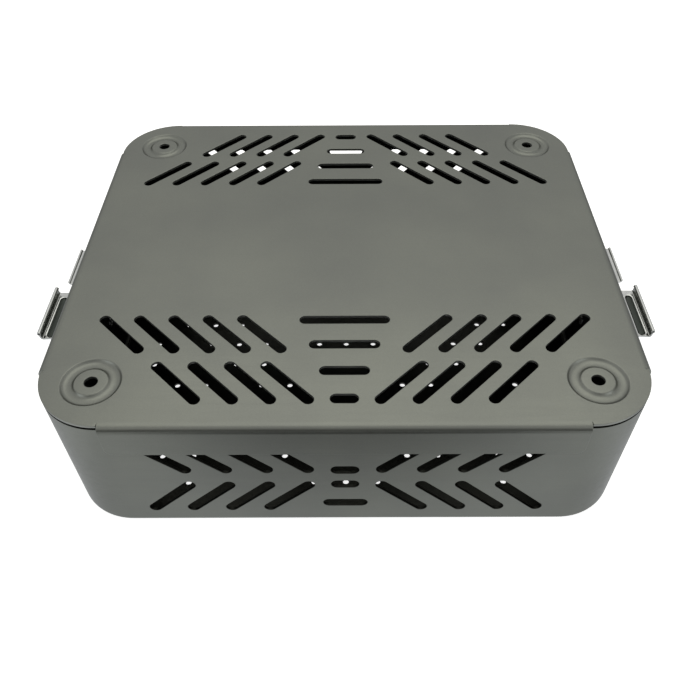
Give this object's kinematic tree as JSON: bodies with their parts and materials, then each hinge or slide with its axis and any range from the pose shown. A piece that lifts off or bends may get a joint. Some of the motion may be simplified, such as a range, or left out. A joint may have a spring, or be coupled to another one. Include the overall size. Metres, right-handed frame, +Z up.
{
  "type": "sterilization container",
  "caption": "Perforated sterilization container for surgical instruments: deep aluminium tray with drain holes, slotted lift-off lid and a stainless snap latch hinged on each end.",
  "frame": {"origin": "centre of the resting plane, the flat underside of the tray's floor", "axes": "+Z up, +X to the right along the length through both latches, -Y to the front; at rest the lid is on and both latch levers hang open"},
  "size_m": [0.3382, 0.2366, 0.077],
  "materials": {
    "anodised_aluminium": "satin",
    "stainless_steel": "polished",
    "rivet_steel": "satin"
  },
  "bodies": {
    "base": {"base_tray": "anodised_aluminium", "right_latch_bracket": "stainless_steel", "right_hinge_pin": "stainless_steel", "right_bracket_rivet_lower_front": "rivet_steel", "right_bracket_rivet_lower_rear": "rivet_steel", "right_bracket_rivet_upper_front": "rivet_steel", "right_bracket_rivet_upper_rear": "rivet_steel", "left_latch_bracket": "stainless_steel", "left_hinge_pin": "stainless_steel", "left_bracket_rivet_lower_front": "rivet_steel", "left_bracket_rivet_lower_rear": "rivet_steel", "left_bracket_rivet_upper_front": "rivet_steel", "left_bracket_rivet_upper_rear": "rivet_steel"},
    "lid": {"lid": "anodised_aluminium", "right_keeper": "stainless_steel", "right_keeper_rivet_front": "rivet_steel", "right_keeper_rivet_rear": "rivet_steel", "left_keeper": "stainless_steel", "left_keeper_rivet_front": "rivet_steel", "left_keeper_rivet_rear": "rivet_steel"},
    "right_lever": {"right_latch_lever": "stainless_steel"},
    "left_lever": {"left_latch_lever": "stainless_steel"}
  },
  "joints": [
    {"name": "lid_lift", "type": "slide", "parent": "base", "child": "lid", "axis": [0, 0, 1], "range_m": [0, 0.1]},
    {"name": "right_latch", "type": "hinge", "parent": "base", "child": "right_lever", "pos_m": [0.1375, 0, 0.0352], "axis": [0, -1, 0], "range_deg": [0, 90]},
    {"name": "left_latch", "type": "hinge", "parent": "base", "child": "left_lever", "pos_m": [-0.1375, 0, 0.0352], "axis": [0, 1, 0], "range_deg": [0, 90]}
  ]
}
